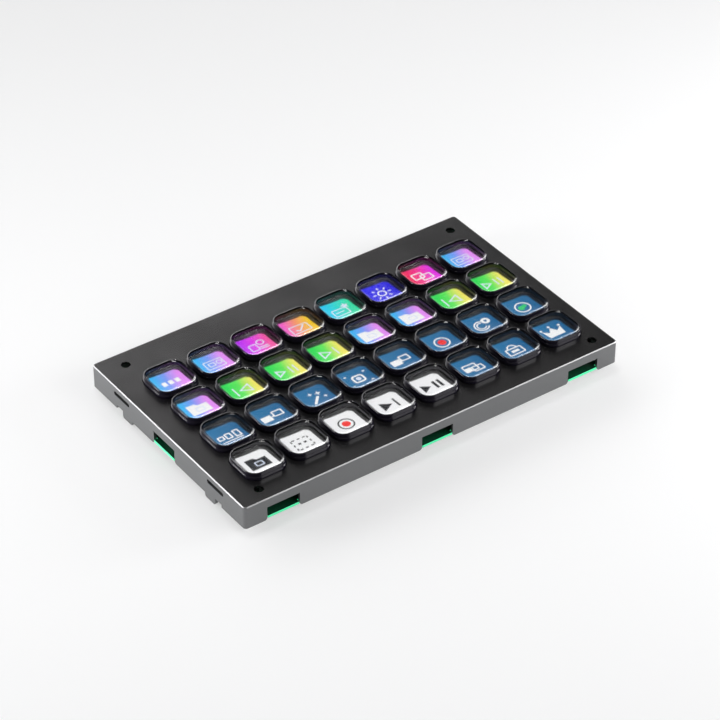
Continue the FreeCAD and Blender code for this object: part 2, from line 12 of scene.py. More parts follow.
import bpy
import numpy as np
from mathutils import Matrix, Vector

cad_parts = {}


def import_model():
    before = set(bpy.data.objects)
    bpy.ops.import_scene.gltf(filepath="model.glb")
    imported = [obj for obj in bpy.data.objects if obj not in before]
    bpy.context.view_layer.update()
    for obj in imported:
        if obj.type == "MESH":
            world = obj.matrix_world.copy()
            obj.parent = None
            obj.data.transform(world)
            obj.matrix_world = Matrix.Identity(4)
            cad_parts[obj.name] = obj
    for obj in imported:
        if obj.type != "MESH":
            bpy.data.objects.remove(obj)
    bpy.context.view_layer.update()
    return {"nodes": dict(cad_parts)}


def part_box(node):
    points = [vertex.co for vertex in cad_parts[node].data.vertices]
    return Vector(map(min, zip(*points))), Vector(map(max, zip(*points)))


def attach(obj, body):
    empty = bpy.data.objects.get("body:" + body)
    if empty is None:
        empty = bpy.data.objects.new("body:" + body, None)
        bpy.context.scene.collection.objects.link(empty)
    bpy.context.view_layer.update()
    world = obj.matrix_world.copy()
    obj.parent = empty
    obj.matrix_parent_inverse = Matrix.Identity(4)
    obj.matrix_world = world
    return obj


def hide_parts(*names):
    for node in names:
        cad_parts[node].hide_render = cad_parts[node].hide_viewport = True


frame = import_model()
MM = 0.001

# %% [markdown]
# ## The camera
#
# The picture was taken with a long lens from the front left. The angles and
# the distance come from fitting a pinhole camera to the frame's corners, the
# screw holes and the grid of keys. The lens shift moves the picture, not the
# camera, so it changes nothing in the perspective.

# %% Camera
view_azimuth = math.radians(-35.435)
view_elevation = math.radians(37.138)
view_distance = 1122.3 * MM
sensor = 36.0
focal_pixels, frame_pixels = 2992.5, 720.0
aim_right, aim_up = -3.94, 7.17

top_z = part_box("side_frame")[1].z
aim = np.array([0.0, 0.0, top_z])
flat = math.cos(view_elevation)
back = np.array([
    math.sin(view_azimuth) * flat,
    -math.cos(view_azimuth) * flat,
    math.sin(view_elevation),
])
camera_data = bpy.data.cameras.new("camera")
camera_data.sensor_fit = "HORIZONTAL"
camera_data.sensor_width = sensor
camera_data.lens = focal_pixels / frame_pixels * sensor
camera_data.shift_x = -aim_right / frame_pixels
camera_data.shift_y = -aim_up / frame_pixels
camera = bpy.data.objects.new("camera", camera_data)
camera.location = aim + back * view_distance
camera.rotation_euler = (math.pi / 2 - view_elevation, 0, view_azimuth)
bpy.context.scene.collection.objects.link(camera)
bpy.context.scene.camera = camera
bpy.context.scene.view_settings.view_transform = "Standard"
print("camera at", [round(c, 4) for c in camera.location])

# %% [markdown]
# ## Shader helpers
#
# A material here is a Principled shader with a small net of textures. Each
# helper adds one node and returns it, so that a finish reads as a recipe.
# Patterns use Object coordinates, because every mesh sits at the origin with
# its place in its vertices: a pattern keeps its size and never swims.

# %% Shader helpers
def new_material(name, color, roughness, metallic=0.0, **sockets):
    """A Principled material. Constants go straight onto the shader's sockets."""
    material = bpy.data.materials.new(name)
    material.use_nodes = True
    shader = material.node_tree.nodes["Principled BSDF"]
    shader.inputs["Base Color"].default_value = (*color, 1.0)
    shader.inputs["Roughness"].default_value = roughness
    shader.inputs["Metallic"].default_value = metallic
    for socket, value in sockets.items():
        shader.inputs[socket.replace("_", " ")].default_value = value
    return material


def add(material, kind, inputs=None, **settings):
    """One more node, with its settings and its plain or linked inputs."""
    node = material.node_tree.nodes.new(kind)
    for key, value in settings.items():
        setattr(node, key, value)
    for key, value in (inputs or {}).items():
        if isinstance(value, bpy.types.NodeSocket):
            material.node_tree.links.new(value, node.inputs[key])
        else:
            node.inputs[key].default_value = value
    return node


def feed(material, socket, value):
    """Links a value into the Principled shader."""
    shader = material.node_tree.nodes["Principled BSDF"]
    material.node_tree.links.new(value, shader.inputs[socket])


def place(material, scale=(1, 1, 1)):
    """Object coordinates, stretched per axis."""
    coordinates = add(material, "ShaderNodeTexCoord")
    mapping = add(material, "ShaderNodeMapping", {"Vector": coordinates.outputs["Object"], "Scale": scale})
    return mapping.outputs["Vector"]


def noise(material, vector, size, detail=2.0):
    """A cloud of noise whose blobs are about size metres across."""
    node = add(material, "ShaderNodeTexNoise", {"Vector": vector, "Scale": 1 / size, "Detail": detail})
    return node.outputs["Fac"]


def spread_to(material, value, low, high, start=0.3, end=0.7):
    """Maps a noise value from its middle band onto low to high."""
    node = add(material, "ShaderNodeMapRange", {
        "Value": value, "From Min": start, "From Max": end, "To Min": low, "To Max": high,
    })
    return node.outputs["Result"]


def blend_colors(material, value, first, second):
    """A two-stop colour ramp read by a value."""
    node = add(material, "ShaderNodeValToRGB", {"Fac": value})
    node.color_ramp.elements[0].color = (*first, 1.0)
    node.color_ramp.elements[1].color = (*second, 1.0)
    return node.outputs["Color"]


def grain(material, height, strength, distance):
    """A bump from a height, linked to the shader's normal."""
    node = add(material, "ShaderNodeBump", {"Height": height, "Strength": strength, "Distance": distance})
    feed(material, "Normal", node.outputs["Normal"])


# %% [markdown]
# ## Metal, film and board finishes
#
# The walls are blasted aluminium: a metal with a broad sheen and a grain of a
# tenth of a millimetre. The plate is the same metal dyed black, so it keeps a
# soft sheen that a painted black would lose. The frame's upper edge carries a
# bright line, and here it is a painted highlight: the leaning chamfer takes a
# lighter colour than the walls. The normal in object space tells that leaning
# chamfer from the other faces.

# %% Metals
gloss_patch = 22 * MM
dim_share = 0.93
lean_middle, lean_reach = 0.7, 0.2


def blasted_metal(name, color, roughness, grain_size, depth, variation=0.06, painted_highlight_color=None):
    """Metal with fine pits and slow changes of gloss, as blasting leaves it.

    With a highlight colour, faces whose normal leans at about 45 degrees take that
    colour, a painted highlight, and all others the plain one.
    """
    material = new_material(name, color, roughness, 1.0)
    vector = place(material)
    slow = noise(material, vector, gloss_patch, 3.0)
    feed(material, "Roughness", spread_to(material, slow, roughness - variation, roughness + variation))
    # Faces leaning like the chamfer take a lighter colour: a painted highlight.
    if painted_highlight_color:
        base = painted_chamfer_highlight(material, color, painted_highlight_color)
    else:
        dim = tuple(c * dim_share for c in color)
        base = blend_colors(material, slow, dim, color)
    feed(material, "Base Color", base)
    grain(material, noise(material, vector, grain_size, 1.0), 0.35, depth)
    return material


def painted_chamfer_highlight(material, color, painted_highlight_color):
    """A painted highlight: the lighter colour where the normal's height is near that of a chamfer."""
    coordinates = add(material, "ShaderNodeTexCoord")
    parts = add(material, "ShaderNodeSeparateXYZ", {"Vector": coordinates.outputs["Normal"]})
    test = {0: parts.outputs["Z"], 1: lean_middle, 2: lean_reach}
    leans = add(material, "ShaderNodeMath", test, operation="COMPARE").outputs[0]
    choice = {"Factor": leans, "A": (*color, 1.0), "B": (*painted_highlight_color, 1.0)}
    return add(material, "ShaderNodeMix", choice, data_type="RGBA").outputs["Result"]


# The frame's lighter chamfer colour is a painted highlight along its upper edge.
frame_metal = blasted_metal(
    "frame_metal", (0.205, 0.208, 0.212), 0.5, 0.16 * MM, 0.01 * MM, painted_highlight_color=(0.38, 0.38, 0.385),
)
black_plate = blasted_metal("black_plate", (0.215, 0.212, 0.215), 0.22, 0.14 * MM, 0.004 * MM, 0.02)
steel = blasted_metal("bright_steel", (0.60, 0.60, 0.62), 0.28, 0.5 * MM, 0.01 * MM)
zinc = blasted_metal("zinc_sheet", (0.48, 0.49, 0.51), 0.38, 0.8 * MM, 0.01 * MM)
brass = blasted_metal("turned_brass", (0.72, 0.55, 0.28), 0.3, 0.3 * MM, 0.01 * MM)
for name, metal in {
    "side_frame": frame_metal,
    "face_plate": black_plate,
    "usb_shell": steel,
    "crystal": steel,
    "backlight_tray": zinc,
    "stiffener": zinc,
    "stiffener_screws": steel,
    "board_screws": steel,
    "standoffs": brass,
}.items():
    frame["nodes"][name].data.materials.clear()
    frame["nodes"][name].data.materials.append(metal)
print("metals:", [m.name for m in (frame_metal, black_plate, steel, zinc, brass)])

# %% [markdown]
# ## Plastics, rubber and films
#
# Moulded pieces share one recipe: a plain colour, a fine even texture from the
# mould and a gloss that changes slowly over a few millimetres. The skirts are
# nearly polished. The mat is set darker than real silicone, because the tiles
# light it closely and it tints the dark bands seen through the panes.

# %% Plastics
def moulded(name, color, roughness, grain_size=0.4 * MM, depth=0.01 * MM, **sockets):
    """A moulded surface with a fine even texture and a slow change of gloss."""
    material = new_material(name, color, roughness, 0.0, **sockets)
    vector = place(material)
    slow = noise(material, vector, 9 * MM)
    feed(material, "Roughness", spread_to(material, slow, roughness * 0.9, roughness * 1.1))
    dim = tuple(c * 0.88 for c in color)
    feed(material, "Base Color", blend_colors(material, slow, dim, color))
    grain(material, noise(material, vector, grain_size), 0.25, depth)
    return material


skirt_black = moulded("skirt_black", (0.013, 0.011, 0.020), 0.1, 2 * MM, 0.002 * MM)
silicone = moulded("silicone", (0.005, 0.005, 0.0055), 0.5)
black_moulding = moulded("black_moulding", (0.022, 0.022, 0.023), 0.5)
white_moulding = moulded("white_moulding", (0.78, 0.76, 0.71), 0.4)
amber_film = moulded("amber_film", (0.62, 0.27, 0.05), 0.3)
black_film = moulded("black_film", (0.03, 0.03, 0.034), 0.45)
white_film = moulded("white_film", (0.86, 0.86, 0.86), 0.5)
epoxy = moulded("chip_epoxy", (0.028, 0.028, 0.03), 0.42, 0.12 * MM, 0.012 * MM)
ferrite = moulded("ferrite", (0.13, 0.13, 0.135), 0.55, 0.15 * MM, 0.02 * MM)
ceramic = moulded("ceramic", (0.42, 0.28, 0.16), 0.38)
glass_black = moulded("display_black", (0.006, 0.006, 0.008), 0.06, 30 * MM, 0.0)
for name, plastic in {
    "dome_mat": silicone,
    "contact_sheet": black_film,
    "display_glass": glass_black,
    "diffuser_sheet": white_film,
    "light_guide": white_film,
    "led_strip": white_film,
    "display_flex": amber_film,
    "display_frame": black_moulding,
    "usb_tongue": black_moulding,
    "main_chip": epoxy,
    "memory_chip": epoxy,
    "power_coil": ferrite,
    "capacitors": ceramic,
    "flex_socket": white_moulding,
    "contact_socket": white_moulding,
}.items():
    frame["nodes"][name].data.materials.clear()
    frame["nodes"][name].data.materials.append(plastic)
print("plastics: silicone, films, mouldings, epoxy, ferrite, ceramic and glass")

# %% [markdown]
# ## The board
#
# A circuit board is a pale glass-fibre core under a dark green mask. The mask
# stops at the cut edge, so the edge shows the bright core: that is the mint
# strip in each mouth of the frame. The cut edge also glows a little, which is
# painted light, as a board gives none. The normal in object space tells the cut
# edge from the faces.

# %% Board finish
# How strongly the board's cut edges glow: painted light, as a board gives none.
painted_edge_glow = 0.3


def board_finish():
    """Green mask on the faces, bright core on the cut edges, whose glow is painted light."""
    material = new_material("board_mask", (0.01, 0.12, 0.05), 0.3)
    coordinates = add(material, "ShaderNodeTexCoord")
    parts = add(material, "ShaderNodeSeparateXYZ", {"Vector": coordinates.outputs["Normal"]})
    upright = add(material, "ShaderNodeMath", {0: parts.outputs["Z"]}, operation="ABSOLUTE").outputs[0]
    vector = place(material)
    weave = noise(material, vector, 1.2 * MM)
    mask = blend_colors(material, weave, (0.003, 0.05, 0.022), (0.005, 0.08, 0.034))
    core = blend_colors(material, weave, (0.05, 0.86, 0.36), (0.12, 0.98, 0.50))
    cut = add(material, "ShaderNodeMath", {0: upright, 1: 0.5}, operation="LESS_THAN").outputs[0]
    color = add(material, "ShaderNodeMix", {"Factor": cut, "A": mask, "B": core}, data_type="RGBA")
    feed(material, "Base Color", color.outputs["Result"])
    # The cut edges glow in the core's colour: painted light.
    painted_glow_share = add(material, "ShaderNodeMath", {0: cut, 1: painted_edge_glow}, operation="MULTIPLY").outputs[0]
    feed(material, "Emission Color", core)
    feed(material, "Emission Strength", painted_glow_share)
    return material


board_mask = board_finish()
frame["nodes"]["main_board"].data.materials.clear()
frame["nodes"]["main_board"].data.materials.append(board_mask)
print("board:", board_mask.name)

# %% [markdown]
# ## Meshes from profiles
#
# A key is a profile carried round a rounded square. Offsetting a rounded
# square outwards by d makes its half sides and its corner radius d larger, so
# one row of points of the profile is one ring, and the whole wall is a grid of
# rings that numpy works out at once.

# %% Mesh helpers
corner_steps = 7


def rounded_ring(half_width, half_depth, radius):
    """Points round a rounded rectangle, anticlockwise from above.

    Each corner is a quarter circle: its centre plus radius times the cosine
    and sine of evenly spaced angles. The straight sides join the corners.
    """
    turn = np.linspace(0, math.pi / 2, corner_steps + 1)
    angle = (np.arange(4)[:, None] * math.pi / 2 + turn).ravel()
    sign_x = np.repeat([1, -1, -1, 1], corner_steps + 1)
    sign_y = np.repeat([1, 1, -1, -1], corner_steps + 1)
    x = sign_x * (half_width - radius) + radius * np.cos(angle)
    y = sign_y * (half_depth - radius) + radius * np.sin(angle)
    return np.stack([x, y], -1)


def dense_ring(half, radius, extra):
    """A rounded square with extra points along its four straight sides."""
    ring = rounded_ring(half, half, radius).reshape(4, -1, 2)
    after = np.roll(ring, -1, axis=0)[:, :1]
    share = np.linspace(0, 1, extra + 2)[1:-1, None]
    sides = ring[:, -1:] * (1 - share) + after * share
    return np.concatenate([ring, sides], 1).reshape(-1, 2)


def ring_stack(half, radius, profile):
    """Rings of a profile of (offset, height) pairs round a rounded square."""
    rings = []
    for offset, height in profile:
        flat_ring = rounded_ring(half + offset, half + offset, max(radius + offset, 0.05 * MM))
        rings.append(np.column_stack([flat_ring, np.full(len(flat_ring), height)]))
    return np.array(rings)


def grid_faces(rings, around, close_rings=False):
    """Quads between neighbouring rings, facing outwards for rising rings."""
    row = np.arange(rings if close_rings else rings - 1)[:, None] * around
    after = (row + around) % (rings * around)
    column = np.arange(around)
    ahead = (column + 1) % around
    quads = np.stack([row + column, row + ahead, after + ahead, after + column], -1)
    return quads.reshape(-1, 4).tolist()


def make_piece(name, points, faces, body, materials, smooth_angle=None):
    """A mesh object at the origin that rides on a body."""
    mesh = bpy.data.meshes.new(name)
    mesh.from_pydata(np.asarray(points).tolist(), [], faces)
    mesh.update()
    for material in materials:
        mesh.materials.append(material)
    piece = bpy.data.objects.new(name, mesh)
    bpy.context.scene.collection.objects.link(piece)
    if smooth_angle is not None:
        mesh.shade_smooth()
        mesh.set_sharp_from_angle(angle=smooth_angle)
    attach(piece, body)
    return piece


def rounding(offset, height, radius, steps, start, end):
    """An arc of a profile: centre plus radius at angles from start to end."""
    angles = np.radians(np.linspace(start, end, steps + 1))
    return [(offset + radius * math.cos(a), height + radius * math.sin(a)) for a in angles]


# %% [markdown]
# ## The keys
#
# Each cap is two mouldings in one: a thick clear pane and the black skirt
# round it. The skirt's upper edge is rounded by a few tenths, and that round
# catches the thin bright line that the photograph shows on every key. The
# pane's side is bonded to the skirt, so from inside the pane it looks black:
# the pane gets a second, black material there. The pane's top is dished: a
# steep cup along the rim, then a shallow bowl. The cup mirrors the room behind
# as the pale line at the near edge, and bends the tile's outline at the sides.

# %% Key sizes
key_names = sorted(n for n in frame["nodes"] if n.startswith("key_"))
first_low, first_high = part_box(key_names[0])
key_top = first_high.z
flange_low = first_low.z
flange_half = (first_high.x - first_low.x) / 2
skirt_half = 8.7 * MM
cap_half = 8.45 * MM
pane_half = 8.1 * MM
dish_half = 8.0 * MM
bond_gap = 0.01 * MM
pane_thickness = 1.4 * MM
cap_radius = 4.65 * MM
shoulder_z = top_z + 1.15 * MM
flange_thickness = 0.4 * MM
rim_round = 0.3 * MM
shoulder_round = 0.22 * MM
print("keys:", len(key_names), "cap side mm:", round(2 * cap_half / MM, 2))

# %% Clear pane and skirt finishes
clear_pane = new_material("clear_pane", (0.97, 0.975, 0.98), 0.13, IOR=1.49, Transmission_Weight=1.0)
pane_side = moulded("pane_side", (0.002, 0.002, 0.003), 0.2, Specular_IOR_Level=0.01)


skirt_crease, pane_crease = math.radians(35), math.radians(50)


def skirt_profile():
    """The skirt's closed cross-section, as offsets from the cap's side."""
    flange, skirt = flange_half - cap_half, skirt_half - cap_half
    bore = pane_half + bond_gap - cap_half
    flange_high = flange_low + flange_thickness
    outline = [(bore, flange_low), (flange, flange_low), (flange, flange_high), (skirt, flange_high)]
    outline += rounding(skirt - shoulder_round, shoulder_z - shoulder_round, shoulder_round, 4, 0, 90)
    outline += [(0.0, shoulder_z + 0.01 * MM)]
    outline += rounding(-rim_round, key_top - rim_round, rim_round, 5, 0, 90)
    outline += [(bore, key_top)]
    return outline


def make_skirt(name, x, y):
    """The skirt's cross-section carried once round the cap's rounded square."""
    rings = ring_stack(cap_half, cap_radius, skirt_profile())
    rings[..., 0] += x
    rings[..., 1] += y
    points = rings.reshape(-1, 3)
    faces = grid_faces(len(rings), rings.shape[1], close_rings=True)
    skirt = make_piece("skirt_" + name[4:], points, faces, name, [skirt_black], skirt_crease)
    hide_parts(name)
    return skirt


# %% Dished panes
bowl_depth, cup_depth, cup_width = 0.35 * MM, 0.35 * MM, 1.2 * MM
cup_steps, bowl_steps, side_points, innermost = 12, 16, 11, 0.04


def dish_depth(x, y, inset):
    """How far the top lies below the rim, at a distance inset from it.

    The bowl is its depth times (1 - x squared) times (1 - y squared), with x
    and y as shares of the half side, so it is level along all four sides. The
    cup adds a steep start: its depth times one less the square of the share of
    its width that is still to go.
    """
    share_x, share_y = x / dish_half, y / dish_half
    bowl = bowl_depth * (1 - share_x ** 2) * (1 - share_y ** 2)
    to_go = np.clip(1 - inset / cup_width, 0, 1)
    return bowl + cup_depth * (1 - to_go ** 2)


def dish_rings():
    """Rings from the rim inwards: offset ones on the cup, then shrunken ones."""
    insets = np.linspace(0, cup_width, cup_steps + 1)
    radius = cap_radius - (cap_half - dish_half)
    flat = [dense_ring(dish_half - inset, radius - inset, side_points) for inset in insets]
    shares = np.linspace(1, innermost, bowl_steps + 1)[1:]
    flat = np.array(flat + [flat[-1] * share for share in shares])
    inset = np.concatenate([insets, np.full(bowl_steps, cup_width)])
    depth = dish_depth(flat[..., 0], flat[..., 1], inset[:, None])
    return np.concatenate([flat, key_top - depth[..., None]], -1)


def make_pane(name, x, y):
    """The clear block: a flat underside, an upright side and a dished top."""
    edge = dense_ring(pane_half, cap_radius - (cap_half - pane_half), side_points)
    levels = (key_top - pane_thickness, key_top)
    side = np.array([np.column_stack([edge, np.full(len(edge), level)]) for level in levels])
    rings = np.concatenate([side, dish_rings()])
    rings[..., 0] += x
    rings[..., 1] += y
    around = rings.shape[1]
    faces = grid_faces(len(rings), around)
    faces += [list(range((len(rings) - 1) * around, len(rings) * around)), list(range(around))[::-1]]
    points, materials = rings.reshape(-1, 3), [clear_pane, pane_side]
    pane = make_piece("pane_" + name[4:], points, faces, name, materials, pane_crease)
    slots = np.zeros(len(faces), np.int32)
    slots[:around] = 1
    pane.data.polygons.foreach_set("material_index", slots)
    return pane


key_centres = {}
for name in key_names:
    low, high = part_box(name)
    centre = (low + high) / 2
    key_centres[name] = (centre.x, centre.y)
    make_skirt(name, centre.x, centre.y)
    make_pane(name, centre.x, centre.y)
print("skirts and panes:", 2 * len(key_centres))

# %% [markdown]
# ## Lit tiles
#
# Under the keys lies one display, and each key looks down on its own tile of
# it. A tile is the glowing top of a black block one millimetre high, which
# stands in the mat's collar, so that the collar doesn't hide the picture. Its
# colours come from a ramp across the tile's own UV map, so one material serves
# every tile of that colour. The UV map runs from 0 to 1 from left to right and
# from front to back.

# %% Glow materials
def glow(name, stops, tilt=0.2):
    """A screen colour: a ramp of (place, color) stops across the tile.

    The place is u less a share of v, so the bands lean back to the left.
    """
    material = new_material(name, (0.01, 0.01, 0.012), 0.25, Emission_Strength=1.0)
    uv = add(material, "ShaderNodeUVMap")
    parts = add(material, "ShaderNodeSeparateXYZ", {"Vector": uv.outputs["UV"]})
    share = {0: parts.outputs["Y"], 1: -tilt, 2: tilt / 2}
    lean = add(material, "ShaderNodeMath", share, operation="MULTIPLY_ADD")
    along = add(material, "ShaderNodeMath", {0: parts.outputs["X"], 1: lean.outputs[0]}, operation="ADD")
    ramp = add(material, "ShaderNodeValToRGB", {"Fac": along.outputs[0]})
    elements = ramp.color_ramp.elements
    while len(elements) < len(stops):
        elements.new(0.5)
    for element, (position, color) in zip(elements, stops):
        element.position = position
        element.color = (*screen_color(color), 1.0)
    feed(material, "Emission Color", ramp.outputs["Color"])
    return material


def screen_color(color):
    """The linear value of a colour given as it shows on a screen, 0 to 255."""
    share = np.array(color) / 255
    return tuple(np.where(share <= 0.04045, share / 12.92, ((share + 0.055) / 1.055) ** 2.4))


def ink(name, color):
    """A plain screen colour for the strokes of a pictogram."""
    return glow(name, [(0.0, color), (1.0, color)])


tile_glow = {
    "sky": glow("glow_sky", [(0.12, (60, 190, 255)), (0.45, (125, 160, 255)), (0.85, (240, 150, 255))]),
    "orchid": glow("glow_orchid", [(0.1, (196, 44, 255)), (0.5, (232, 52, 236)), (0.9, (255, 90, 170))]),
    "sunset": glow("glow_sunset", [(0.1, (255, 92, 214)), (0.5, (255, 150, 110)), (0.9, (255, 208, 30))]),
    "lagoon": glow("glow_lagoon", [(0.1, (32, 214, 255)), (0.5, (38, 224, 214)), (0.9, (50, 230, 170))]),
    "royal": glow("glow_royal", [(0.0, (58, 52, 250)), (1.0, (40, 30, 226))]),
    "berry": glow("glow_berry", [(0.1, (255, 44, 96)), (0.5, (255, 44, 150)), (0.9, (240, 48, 236))]),
    "meadow": glow("glow_meadow", [(0.15, (40, 232, 90)), (0.5, (96, 240, 92)), (0.92, (255, 246, 110))]),
    "steel": glow("glow_steel", [(0.0, (44, 124, 174)), (1.0, (34, 102, 152))]),
    "paper": glow("glow_paper", [(0.0, (250, 250, 252)), (1.0, (255, 255, 255))]),
}
inks = {
    "white": ink("ink_white", (255, 255, 255)),
    "pale": ink("ink_pale", (230, 238, 255)),
    "dark": ink("ink_dark", (24, 26, 32)),
    "red": ink("ink_red", (255, 46, 40)),
    "green": ink("ink_green", (60, 214, 120)),
}
block_black = moulded("block_side", (0.004, 0.004, 0.005), 0.4, Specular_IOR_Level=0.1)
print("glows:", len(tile_glow), "inks:", len(inks))

# %% [markdown]
# ## Pictograms
#
# The pictograms are flat shapes, drawn in millimetres from the tile's middle:
# bars, discs, rings, outlined boxes and triangles. Each drawing function
# returns points and faces, and a pictogram is a list of such drawings, each
# with its ink. They are the plain signs of any media remote.

# %% Drawing kit
def polygon(*corners):
    """One flat face through its corners, given anticlockwise."""
    return np.array(corners, float), [tuple(range(len(corners)))]


def bar(x0, y0, x1, y1, width):
    """A straight stroke: both ends pushed out sideways by half the width."""
    ahead = np.array([x1 - x0, y1 - y0])
    side = np.array([-ahead[1], ahead[0]]) / np.hypot(*ahead) * width / 2
    start, end = np.array([x0, y0]), np.array([x1, y1])
    return polygon(start - side, end - side, end + side, start + side)


def rectangle(x, y, width, height):
    """A level bar as thick as the rectangle is high."""
    return bar(x - width / 2, y, x + width / 2, y, height)


def band(inner, outer):
    """Quads between two closed rows of points of the same length."""
    count = len(outer)
    index = np.arange(count)
    ahead = (index + 1) % count
    quads = np.stack([index, ahead, ahead + count, index + count], -1)
    return np.vstack([outer, inner]), [tuple(q) for q in quads.tolist()]


def circle(x, y, radius, steps=28):
    """Centre plus radius times the cosine and sine of even steps of a turn."""
    angle = np.linspace(0, 2 * math.pi, steps, endpoint=False)
    return np.column_stack([x + radius * np.cos(angle), y + radius * np.sin(angle)])


def disc(x, y, radius):
    """The circle's points as one face."""
    return polygon(*circle(x, y, radius))


def ring(x, y, radius, width):
    """Two circles, half the width to each side of the radius."""
    return band(circle(x, y, radius - width / 2), circle(x, y, radius + width / 2))


def arc(x, y, radius, width, start, end, steps=18):
    """Part of a ring, from one angle in degrees to another."""
    angle = np.radians(np.linspace(start, end, steps + 1))
    unit = np.column_stack([np.cos(angle), np.sin(angle)])
    points = np.vstack([unit * (radius + width / 2), unit * (radius - width / 2)]) + (x, y)
    index = np.arange(steps)
    quads = np.stack([index, index + 1, index + steps + 2, index + steps + 1], -1)
    return points, [tuple(q) for q in quads.tolist()]


def outlined_box(x, y, width, height, stroke, radius=0.7):
    """Two rounded rectangles, one a stroke inside the other."""
    outer = rounded_ring(width / 2, height / 2, radius)
    inner = rounded_ring(width / 2 - stroke, height / 2 - stroke, max(radius - stroke, 0.05))
    return band(inner + (x, y), outer + (x, y))


def triangle(x, y, width, height, facing=1):
    """Filled, with its point to the right, or to the left when facing is -1."""
    half = facing * width / 2
    corners = [(x - half, y - height / 2), (x + half, y), (x - half, y + height / 2)]
    return polygon(*corners[::facing])


def outlined_triangle(x, y, width, height, stroke, facing=1):
    """The same triangle as a loop: the inner one shrunk towards its centroid."""
    outer, _ = triangle(x, y, width, height, facing)
    centre = outer.mean(0)
    inradius = width * height / (height + 2 * math.hypot(width, height / 2))
    return band(centre + (outer - centre) * (1 - stroke / inradius), outer)


def star(x, y, radius, points=4, waist=0.32):
    """A sparkle: points at the radius, with a narrow waist between them."""
    angle = np.linspace(0, 2 * math.pi, 2 * points, endpoint=False) + math.pi / 2
    reach = np.where(np.arange(2 * points) % 2, radius * waist, radius)
    return polygon(*np.column_stack([x + reach * np.cos(angle), y + reach * np.sin(angle)]))


# %% [markdown]
# The signs themselves follow. A sign is drawn once and used on every key that
# carries it, and its ink is light on a coloured tile and dark on a pale one.

# %% Pictograms
thin, medium, bold = 0.5, 0.62, 0.85


def folder(color, mark):
    """A folder with a raised tab, and a small window on it."""
    body = polygon((-4.3, -3.2), (4.3, -3.2), (4.3, 2.2), (0.4, 2.2), (-0.6, 3.4), (-4.3, 3.4))
    return [(color, body), (mark, outlined_box(0.2, -0.5, 3.6, 2.8, thin, 0.5))]


def projector():
    return [
        ("pale", outlined_box(0, 0, 8.4, 5.6, thin)),
        ("pale", outlined_box(-1.2, 0, 3.0, 2.6, thin, 0.5)),
        ("pale", ring(2.2, 0.3, 1.1, thin)),
    ]


def mixer():
    return [
        ("pale", outlined_box(-1.9, -0.6, 3.8, 4.6, thin)),
        ("pale", ring(2.1, 1.6, 1.5, thin)),
        ("pale", rectangle(2.1, -1.5, 3.8, thin)),
        ("pale", rectangle(2.1, -2.6, 3.8, thin)),
    ]


def ticket():
    return [
        ("pale", outlined_box(0, -0.4, 8.6, 5.4, thin)),
        ("pale", bar(-2.2, -0.6, -0.8, -1.8, medium)),
        ("pale", bar(-0.8, -1.8, 2.4, 1.4, medium)),
    ]


def swatch():
    return [
        ("pale", outlined_box(-0.6, -0.8, 7.2, 4.8, thin)),
        ("pale", star(3.0, 2.2, 2.0, 5, 0.45)),
        ("pale", rectangle(-1.0, -0.8, 4.0, thin)),
    ]


def menu_lines():
    return [("white", rectangle(x, 0.0, 1.9, 2.6)) for x in (-2.9, 0.0, 2.9)]


def brightness():
    rays = []
    for angle in np.radians(np.arange(0, 360, 45)):
        direction = np.array([math.cos(angle), math.sin(angle)])
        rays.append(("white", bar(*direction * 2.9, *direction * 4.3, medium)))
    return [("white", ring(0, 0, 1.7, medium))] + rays


def copy_boxes():
    return [("white", outlined_box(1.5 * side, -side, 5.2, 4.4, medium)) for side in (-1, 1)]


def previous_track():
    sign = outlined_triangle(0.8, 0, 5.4, 5.6, medium, -1)
    return [("pale", rectangle(-3.4, 0, medium, 5.6)), ("pale", sign)]


def next_track(color="pale"):
    sign = triangle(-1.0, 0, 4.8, 5.4) if color == "dark" else outlined_triangle(-1.0, 0, 5.0, 5.4, medium)
    return [(color, sign), (color, rectangle(3.2, 0, bold if color == "dark" else medium, 5.4))]


def play_pause(color="pale"):
    dark = color == "dark"
    sign = triangle(-2.2, 0, 4.0, 4.8) if dark else outlined_triangle(-2.2, 0, 4.2, 4.8, medium)
    stroke = 1.2 if dark else medium
    return [(color, sign), (color, rectangle(1.9, 0, stroke, 4.8)), (color, rectangle(4.1, 0, stroke, 4.8))]


def screens():
    sizes = ((-3.6, 2.6), (-0.3, 3.6), (3.4, 4.4))
    boxes = [("white", outlined_box(x, -0.4, 2.8, height, medium, 0.4)) for x, height in sizes]
    return boxes + [("white", rectangle(0, -3.4, 9.0, thin))]


def swap_boxes(gap):
    return [
        ("white", rectangle(-2.9 + gap, -0.6, 4.4, 3.4)),
        ("white", outlined_box(2.7 - gap, 0.8, 4.6, 3.6, medium, 0.4)),
        ("white", bar(-0.4, -0.6, 0.6, 0.2, medium)),
    ]


def wand():
    return [
        ("white", bar(-2.6, -3.8, 0.9, 0.2, 1.1)),
        ("white", star(2.0, 1.9, 1.5)),
        ("white", star(-1.2, 2.6, 1.2)),
        ("white", star(3.6, -1.2, 1.1)),
    ]


def focus_square():
    marks = [("white", rectangle(x, y, 1.1, medium)) for x in (-4.3, 4.3) for y in (-3.3, 3.3)]
    return [("white", outlined_box(0, 0, 5.4, 5.0, bold, 1.6)), ("pale", disc(0, 0, 1.1))] + marks


def record(ring_color):
    return [(ring_color, ring(0, 0, 3.1, medium)), ("red", disc(0, 0, 1.75))]


def dial_badge():
    return [
        ("white", arc(-0.9, -0.5, 3.0, medium, 60, 330)),
        ("white", arc(-0.9, -0.5, 1.9, thin, 60, 330)),
        ("white", disc(2.5, 1.7, 1.9)),
        ("steel", disc(2.5, 1.7, 0.7)),
    ]


def ring_and_leaf():
    leaf = [("green", disc(-0.8, -0.2, 1.4)), ("green", disc(1.1, 0.5, 1.0))]
    return [("white", ring(0, 0, 3.2, medium))] + leaf


